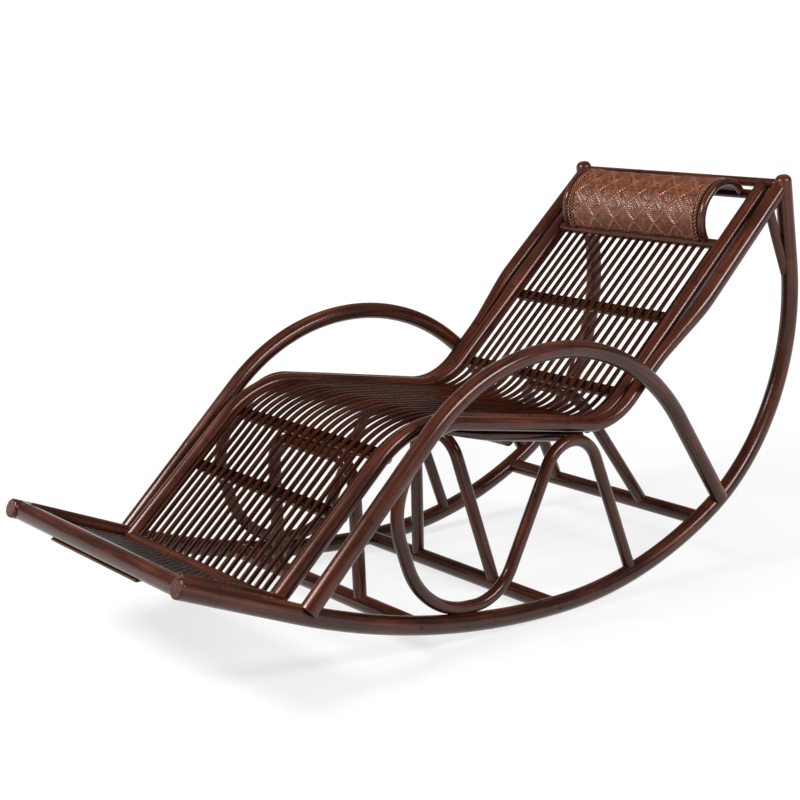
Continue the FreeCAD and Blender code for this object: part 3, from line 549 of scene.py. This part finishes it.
# Woven sheets
def weave_height(i_place, j_place, over, strip_rise, crown_rise):
    """Height of a weave at places counted in strips: the higher of the two strips there, each
    rising or diving smoothly between the middles of the cells and crowned across its own width.
    Gives the height, and whether the first set of strips lies on top."""
    i_cell, j_cell = np.floor(i_place).astype(int), np.floor(j_place).astype(int)

    def eased(place, look):
        start = np.floor(place - 0.5).astype(int)
        share = place - 0.5 - start
        share = share * share * (3 - 2 * share)
        return look(start) * (1 - share) + look(start + 1) * share

    first = eased(j_place, lambda j: over(i_cell, j))
    second = eased(i_place, lambda i: over(i, j_cell))
    crown_i = 1 - (2 * (i_place - i_cell) - 1) ** 2
    crown_j = 1 - (2 * (j_place - j_cell) - 1) ** 2
    up_first = strip_rise * first + crown_rise * crown_i
    up_second = -strip_rise * second + crown_rise * crown_j
    return np.maximum(up_first, up_second), up_first > up_second


DIAMOND = 14


def from_middle(place):
    """Distance of a place from the middle of its diamond, in strips."""
    return np.abs((place + DIAMOND / 2) % DIAMOND - DIAMOND / 2)


def diamond_twill(i, j):
    """1 where the first strip is on top: a two over two twill that turns back at each diamond's middle."""
    return np.where((from_middle(i) + from_middle(j)) % 4 < 2, 1.0, -1.0)


def plain_over(i, j):
    """1 and -1 by turns, as in plain matting."""
    return np.where((i + j) % 2 == 0, 1.0, -1.0)


# Headrest: diamond twill over the hoops' line, with ridges along the diamonds and the smaller ones in them,
# painted shade where it lies low and at its edges, and a painted highlight on the ridges
HEADREST_HALF = 0.2024
STRIP = 0.0045
REST_FOOT_GAP, REST_HEAD_GAP = 0.010, 0.009
REST_HALF_WALL = 0.003
STRIP_RISE, STRIP_CROWN, RIDGE_RISE = 0.0009, 0.0013, 0.0014
# Widths of ridges and edges, in strips
RIDGE_HALF, SMALL_RIDGE_HALF, SMALL_RIDGE_SHARE = 1.4, 1.0, 0.6
EDGE_STRIPS = 1.5
# Height of the darkest painted shade and the span up to the full colour, and what makes the tone, with a
# painted highlight on the ridges
CREVICE_SHADE_LEVEL, CREVICE_SHADE_SPAN = -0.0002, 0.0024
LEAST_TONE, STRIP_TONE, RIDGE_HIGHLIGHT_TONE = 0.20, 0.50, 0.28
INNER_TONE, INNER_RELIEF_AND_SHADE = 0.4, 0.55
MOST_STRIPS = 400
# Mesh points: in each strip, and across the smooth inside
FINE = 4
INNER_COLUMNS = 24
strips_across = round(2 * HEADREST_HALF / STRIP)
points, radii = leaning(HEADREST, LOWER_BAR, BACK_ANGLE, 0)
rest_line = rounded_line(points, radii)
rest_start, rest_end = REST_FOOT_GAP, length_of(rest_line) - REST_HEAD_GAP
strips_along = int((rest_end - rest_start) / STRIP)
j_place = (np.arange(strips_along * FINE) + 0.5) / FINE
i_outer = (np.arange(strips_across * FINE) + 0.5) / FINE
rest_here, rest_ahead = walk(rest_line, rest_start + j_place * (rest_end - rest_start) / strips_along)
rest_out = np.cross(rest_ahead, Y_AXIS)
I, J = np.meshgrid(i_outer, j_place)
height, first_up = weave_height(I, J, diamond_twill, STRIP_RISE, STRIP_CROWN)
out_from_middle = from_middle(I - 0.5) + from_middle(J - 0.5)
lattice = np.abs(out_from_middle - DIAMOND / 2)
small_lattice = np.abs(out_from_middle - DIAMOND / 4)
ridge = np.clip(RIDGE_HALF - lattice, 0, 1)
ridge = ridge + SMALL_RIDGE_SHARE * np.clip(SMALL_RIDGE_HALF - small_lattice, 0, 1)
height = height + RIDGE_RISE * ridge
fade_across = np.clip(np.minimum(I, strips_across - I) / EDGE_STRIPS, 0, 1)
fade = fade_across * np.clip(np.minimum(J, strips_along - J) / EDGE_STRIPS, 0, 1)
# Painted shade: the colour goes to the crevice shade colour in the low places and towards the edges
relief_and_shade = np.clip((height - CREVICE_SHADE_LEVEL) / CREVICE_SHADE_SPAN, 0, 1) * fade
across_outer = -HEADREST_HALF + 2 * HEADREST_HALF * i_outer / strips_across
outer = rest_here[:, None] + across_outer[None, :, None] * Y_AXIS
outer = outer + (REST_HALF_WALL + height * fade)[..., None] * rest_out[:, None]
across_inner = np.linspace(HEADREST_HALF, -HEADREST_HALF, INNER_COLUMNS)
inner = rest_here[:, None] + across_inner[None, :, None] * Y_AXIS - REST_HALF_WALL * rest_out[:, None]
shell = np.concatenate([outer, inner], axis=1)
rows, columns = shell.shape[:2]
strip_tone = rng.uniform(0, 1, (2, MOST_STRIPS))
tone = np.where(first_up, strip_tone[0][I.astype(int)], strip_tone[1][J.astype(int)])
# Painted highlight: the raised ridges are made lighter
tone = LEAST_TONE + STRIP_TONE * tone + RIDGE_HIGHLIGHT_TONE * np.clip(ridge, 0, 1)
inner_tone = np.full(inner.shape[:2], INNER_TONE)
inner_relief_and_shade = np.full(inner.shape[:2], INNER_RELIEF_AND_SHADE)
headrest = put_mesh(
    "headrest_woven", shell.reshape(-1, 3), ring_quads(rows, columns),
    (np.arange(columns)[::-1], (rows - 1) * columns + np.arange(columns)),
    {"relief_and_shade": np.concatenate([relief_and_shade, inner_relief_and_shade], axis=1).ravel(),
     "tone": np.concatenate([tone, inner_tone], axis=1).ravel()},
)
dress(headrest, WEAVE, "headrest_weave", "headrest_shell")


# Strands of a cord: their fullness, the share of colour left at their lowest, which is painted shade, and
# their tones
STRAND_FULLNESS = 1.05
STRAND_SHADE_DARKEST = 0.25
STRAND_TONES = (0.4, 0.9)


def twisted(name, line, out, strand, pitch, turn_way, strands=2, sides=8, step=0.0016):
    """A cord of strands wound round a line: each strand's middle is line + r (cos p across + sin p out),
    with the phase p going once round in each pitch."""
    whole = length_of(line)
    s = np.linspace(0, whole, int(whole / step))
    here, ahead = walk(line, s)
    outward = unit(out(here, ahead))
    across = np.cross(ahead, outward)
    angle = np.arange(sides) * 2 * math.pi / sides
    points, quads, caps, relief_and_shade = [], [], [], []
    for number in range(strands):
        phase = turn_way * 2 * math.pi * s / pitch + number * 2 * math.pi / strands
        middle = here + strand * (np.cos(phase)[:, None] * across + np.sin(phase)[:, None] * outward)
        way = unit(np.gradient(middle, axis=0))
        side = unit(outward - (way * outward).sum(1)[:, None] * way)
        up = np.cross(way, side)
        ring = np.cos(angle)[None, :, None] * side[:, None] + np.sin(angle)[None, :, None] * up[:, None]
        base = number * len(s) * sides
        points.append((middle[:, None] + strand * STRAND_FULLNESS * ring).reshape(-1, 3))
        quads.append(ring_quads(len(s), sides) + base)
        caps += [base + np.arange(sides)[::-1], base + (len(s) - 1) * sides + np.arange(sides)]
        # Painted shade: each strand darkens where it winds under
        relief_and_shade.append(np.clip(0.5 + 0.5 * np.sin(phase)[:, None] * np.ones(sides), 0, 1).ravel())
    relief_and_shade = np.concatenate(relief_and_shade)
    return put_mesh(
        name, np.vstack(points), np.vstack(quads), caps,
        {"relief_and_shade": STRAND_SHADE_DARKEST + (1 - STRAND_SHADE_DARKEST) * relief_and_shade,
         "tone": np.full(len(relief_and_shade), rng.uniform(*STRAND_TONES))},
    )


def rest_outward(here, ahead):
    """Square to the headrest's line, away from its hollow."""
    return np.cross(ahead, Y_AXIS)


# Plaited ends of the headrest and the stitched cord along its edges
PLAIT_END_GAP, PLAIT_LIFT, PLAIT_POINTS = 0.004, 0.0056, 500
PLAIT_STRAND, PLAIT_PITCH = 0.0021, 0.017
PLAIT_ROWS = (("outer", 0.0052, 1), ("inner", 0.0134, -1))
STITCH_INSET, STITCH_END_GAP, STITCH_LIFT = 0.011, 0.019, 0.0042
STITCH_STRAND, STITCH_PITCH = 0.0012, 0.011
edge_s = np.linspace(rest_start + PLAIT_END_GAP, rest_end - PLAIT_END_GAP, PLAIT_POINTS)
edge_here, edge_ahead = walk(rest_line, edge_s)
edge_line = edge_here + PLAIT_LIFT * np.cross(edge_ahead, Y_AXIS)
for side, sign in SIDES:
    for place, inset, way in PLAIT_ROWS:
        line = edge_line + sign * (HEADREST_HALF - inset) * Y_AXIS
        cord = twisted(
            f"headrest_plait_{side}_{place}", line, rest_outward, PLAIT_STRAND, PLAIT_PITCH, way * sign
        )
        dress(cord, PLAIT, "headrest_weave")
for place, at in (("lower", rest_start + STITCH_INSET), ("upper", rest_end - STITCH_INSET)):
    here, ahead = walk(rest_line, np.array([at]))
    outward = np.cross(ahead, Y_AXIS)
    half_run = (HEADREST_HALF - STITCH_END_GAP) * Y_AXIS
    ends = here + STITCH_LIFT * outward + np.array([-1, 1])[:, None] * half_run
    direction = outward[0]
    stitch = twisted(
        f"headrest_stitch_{place}", ends, lambda h, a: np.broadcast_to(direction, h.shape),
        STITCH_STRAND, STITCH_PITCH, 1,
    )
    dress(stitch, PLAIT, "headrest_weave")

# Footrest: plain matting between the bars, with painted highlight spots where the lengthwise strips come up
# and painted shade where the strips lie low
FOOT_HALF = 0.2615
FOOT_STRIP = 0.0085
FOOT_RISE, FOOT_CROWN = 0.0009, 0.0012
FOOT_HALF_WALL = 0.0016
# Painted shade below the first level, painted highlight spots above the second
FOOT_SHADE_LEVEL, FOOT_SHADE_SPAN = 0.0008, 0.0012
HIGHLIGHT_DOT_LEVEL, HIGHLIGHT_DOT_SPAN = 0.0016, 0.0004
FOOT_STRIP_TONE, HIGHLIGHT_DOT_TONE = 0.25, 1.2
front = np.array((FRONT_BAR[0], 0, FRONT_BAR[1])) * MM
foot_way = unit(np.array((REAR_BAR[0] - FRONT_BAR[0], 0, REAR_BAR[1] - FRONT_BAR[1])))
foot_up = np.cross(foot_way, Y_AXIS)
foot_start, foot_end = 0.0185, 0.2185
foot_across = round(2 * FOOT_HALF / FOOT_STRIP)
foot_along = round((foot_end - foot_start) / FOOT_STRIP)
i_top = (np.arange(foot_across * FINE) + 0.5) / FINE
j_top = (np.arange(foot_along * FINE) + 0.5) / FINE
I, J = np.meshgrid(i_top, j_top)
height, first_up = weave_height(I, J, plain_over, FOOT_RISE, FOOT_CROWN)
edge = np.clip(np.minimum(I, foot_across - I), 0, 1) * np.clip(np.minimum(J, foot_along - J), 0, 1)
# Painted shade in the low places and at the edges, and painted highlight spots on the raised lengthwise
# strips
relief_and_shade = np.clip((height - FOOT_SHADE_LEVEL) / FOOT_SHADE_SPAN, 0, 1) * edge
highlight_dots = np.clip((height - HIGHLIGHT_DOT_LEVEL) / HIGHLIGHT_DOT_SPAN, 0, 1) * first_up * edge
flat = (
    front + (foot_start + j_top * (foot_end - foot_start) / foot_along)[:, None, None] * foot_way
    + (-FOOT_HALF + 2 * FOOT_HALF * i_top / foot_across)[None, :, None] * Y_AXIS
)
top = flat + (FOOT_HALF_WALL + height * edge)[..., None] * foot_up
under = flat - (FOOT_HALF_WALL + height * edge)[..., None] * foot_up
mat_points = np.concatenate([top, under[:, ::-1]], axis=1)
rows, columns = mat_points.shape[:2]
tone = FOOT_STRIP_TONE * strip_tone[1][J.astype(int)] * (1 - highlight_dots) + HIGHLIGHT_DOT_TONE * highlight_dots
matting = put_mesh(
    "footrest_woven", mat_points.reshape(-1, 3), ring_quads(rows, columns),
    (np.arange(columns)[::-1], (rows - 1) * columns + np.arange(columns)),
    {"relief_and_shade": np.concatenate([relief_and_shade, relief_and_shade[:, ::-1]], axis=1).ravel(),
     "tone": np.concatenate([tone, tone[:, ::-1]], axis=1).ravel()},
)
dress(matting, FOOT_WEAVE, "footrest_weave", "footrest_panel")

# Footrest side poles and lath
SIDE_POLE_LENGTH, SIDE_POLE_RISE, SIDE_POLE_Y, SIDE_POLE_HALF = 0.234, 0.009, 0.2752, 0.015
LATH_DROP, LATH_HALF_LENGTH, LATH_HALF = 0.0212, 0.160, (0.013, 0.003)
for side, sign in SIDES:
    start = front + SIDE_POLE_RISE * foot_up + sign * SIDE_POLE_Y * Y_AXIS
    ends = start + np.array([[0.0], [SIDE_POLE_LENGTH]]) * foot_way
    pole = sweep(f"footrest_side_pole_{side}_pole", ends, SIDE_POLE_HALF, Y_AXIS, rounding=(0.004, 0.004))
    dress(pole, POLE, "pole", f"footrest_side_pole_{side}")
lath_middle = front - np.array((0, 0, LATH_DROP))
lath_ends = lath_middle + np.array([[-LATH_HALF_LENGTH], [LATH_HALF_LENGTH]]) * Y_AXIS
lath = sweep("footrest_lath_board", lath_ends, LATH_HALF, X_AXIS, squareness=0.4, knots=False)
dress(lath, POLE, "pole", "footrest_lath")

# Screws stay as they are in the frame
bolts = bpy.data.objects["stretcher_bolts"]
bolts.data.materials.clear()
SCREW = screw_metal()
bolts.data.materials.append(SCREW)

# Ends of the screws on the outer sides of the runners, just proud of the lacquer
SCREW_HALF = 0.004
SCREW_INNER_Y, SCREW_OUTER_Y = 0.3265, 0.3298
SCREW_ROUNDING = (0.0003, 0.0006)
for node, (_, _, _, x, z, _) in ARCHES.items():
    for side, sign in SIDES:
        screw_line = np.array([[x * MM, sign * y, z * MM] for y in (SCREW_INNER_Y, SCREW_OUTER_Y)])
        screw_end = sweep(
            f"screw_end_{node.removesuffix('_arch')}_{side}", screw_line, SCREW_HALF, X_AXIS,
            rounding=SCREW_ROUNDING, sides=20, step=0.001, knots=False,
        )
        dress(screw_end, SCREW, "screw")


# Floor, light and camera, in metres
STUDIO_RADIUS, BACKDROP_HEIGHT, FLOOR_DROP = 14, 3, 0.0005
STUDIO_SIDES = 96
PAPER = (0.32, 0.32, 0.32)
FLOOR_GLOW, FULL_GLOW = 0.74, 1.0
GLOW_GROWS_FROM, GLOW_GROWS_TO = 1.0, 4.0
ROOM_LIGHT = 0.20
CAMERA_PLACE = (-2.2197, -2.4063, 1.1351)
CAMERA_WAY = (0.62786, 0.74723, -0.21782)
CAMERA_LENS, CAMERA_SENSOR = 67.95, 36


def seen_white(name, near_glow, far_glow):
    """White paper: lit as it is, with a glow that only seen, mirrored and shone-through rays add, and
    that grows from the middle to where the lamps no longer reach."""
    material, nodes, links, shader = new_material(name)
    nodes.remove(shader)
    light_path = nodes.new("ShaderNodeLightPath")
    share = light_path.outputs["Is Camera Ray"]
    for key in ("Is Glossy Ray", "Is Transmission Ray"):
        either = add_node(nodes, "ShaderNodeMath", operation="MAXIMUM")
        links.new(share, either.inputs[0])
        links.new(light_path.outputs[key], either.inputs[1])
        share = either.outputs["Value"]
    place = nodes.new("ShaderNodeTexCoord").outputs["Object"]
    away = add_node(nodes, "ShaderNodeVectorMath", operation="LENGTH")
    links.new(place, away.inputs[0])
    level = add_node(nodes, "ShaderNodeMath", operation="MULTIPLY")
    reach = (GLOW_GROWS_FROM, GLOW_GROWS_TO)
    links.new(spread(nodes, links, away.outputs["Value"], *reach, near_glow, far_glow), level.inputs[1])
    links.new(share, level.inputs[0])
    paper = nodes.new("ShaderNodeBsdfDiffuse")
    paper.inputs["Color"].default_value = (*PAPER, 1)
    glow = nodes.new("ShaderNodeEmission")
    links.new(level.outputs["Value"], glow.inputs["Strength"])
    both = nodes.new("ShaderNodeAddShader")
    links.new(paper.outputs["BSDF"], both.inputs[0])
    links.new(glow.outputs["Emission"], both.inputs[1])
    links.new(both.outputs["Shader"], nodes["Material Output"].inputs["Surface"])
    return material


def studio():
    """A round white floor that keeps the shadow, a low white backdrop round it and a dim room."""
    bpy.ops.mesh.primitive_circle_add(
        vertices=STUDIO_SIDES, radius=STUDIO_RADIUS, fill_type="NGON", location=(0, 0, -FLOOR_DROP)
    )
    floor = bpy.context.object
    floor.name = "floor"
    floor.data.materials.append(seen_white("floor_paper", FLOOR_GLOW, FULL_GLOW))
    bpy.ops.mesh.primitive_cylinder_add(
        vertices=STUDIO_SIDES, radius=STUDIO_RADIUS, depth=BACKDROP_HEIGHT, end_fill_type="NOTHING",
        location=(0, 0, BACKDROP_HEIGHT / 2 - FLOOR_DROP),
    )
    backdrop = bpy.context.object
    backdrop.name = "backdrop"
    backdrop.data.materials.append(seen_white("backdrop_paper", FULL_GLOW, FULL_GLOW))

    world = bpy.data.worlds.new("studio")
    bpy.context.scene.world = world
    world.use_nodes = True
    background = world.node_tree.nodes["Background"]
    background.inputs["Color"].default_value = (1, 1, 1, 1)
    background.inputs["Strength"].default_value = ROOM_LIGHT


def lamp(name, place, target, width, depth, power):
    """A soft lamp of some width and depth, turned to a target."""
    data = bpy.data.lights.new(name, "AREA")
    data.shape = "RECTANGLE"
    data.size, data.size_y = width, depth
    data.energy = power
    lamp_object = bpy.data.objects.new(name, data)
    lamp_object.location = place
    lamp_object.rotation_mode = "QUATERNION"
    lamp_object.rotation_quaternion = (Vector(target) - Vector(place)).to_track_quat("-Z", "Y")
    lamp_object.visible_camera = False
    bpy.context.scene.collection.objects.link(lamp_object)


studio()
lamp("front_lamp", (-2.8, 0.7, 2.7), (0.0, 0, 0.45), width=1.7, depth=0.8, power=130)
lamp("near_lamp", (0.6, -2.9, 2.3), (0.1, 0, 0.45), width=2.0, depth=0.6, power=75)


def photo_camera():
    """The camera at the photograph's place, turned by its right, up and forward directions."""
    forward = Vector(CAMERA_WAY).normalized()
    right = forward.cross(Vector((0, 0, 1))).normalized()
    up = right.cross(forward)
    data = bpy.data.cameras.new("photo_camera")
    data.sensor_width = CAMERA_SENSOR
    data.lens = CAMERA_LENS
    camera = bpy.data.objects.new("photo_camera", data)
    turn = Matrix((right, up, -forward)).transposed().to_4x4()
    camera.matrix_world = Matrix.Translation(CAMERA_PLACE) @ turn
    bpy.context.scene.collection.objects.link(camera)
    bpy.context.scene.camera = camera


photo_camera()
bpy.context.scene.view_settings.view_transform = "Standard"
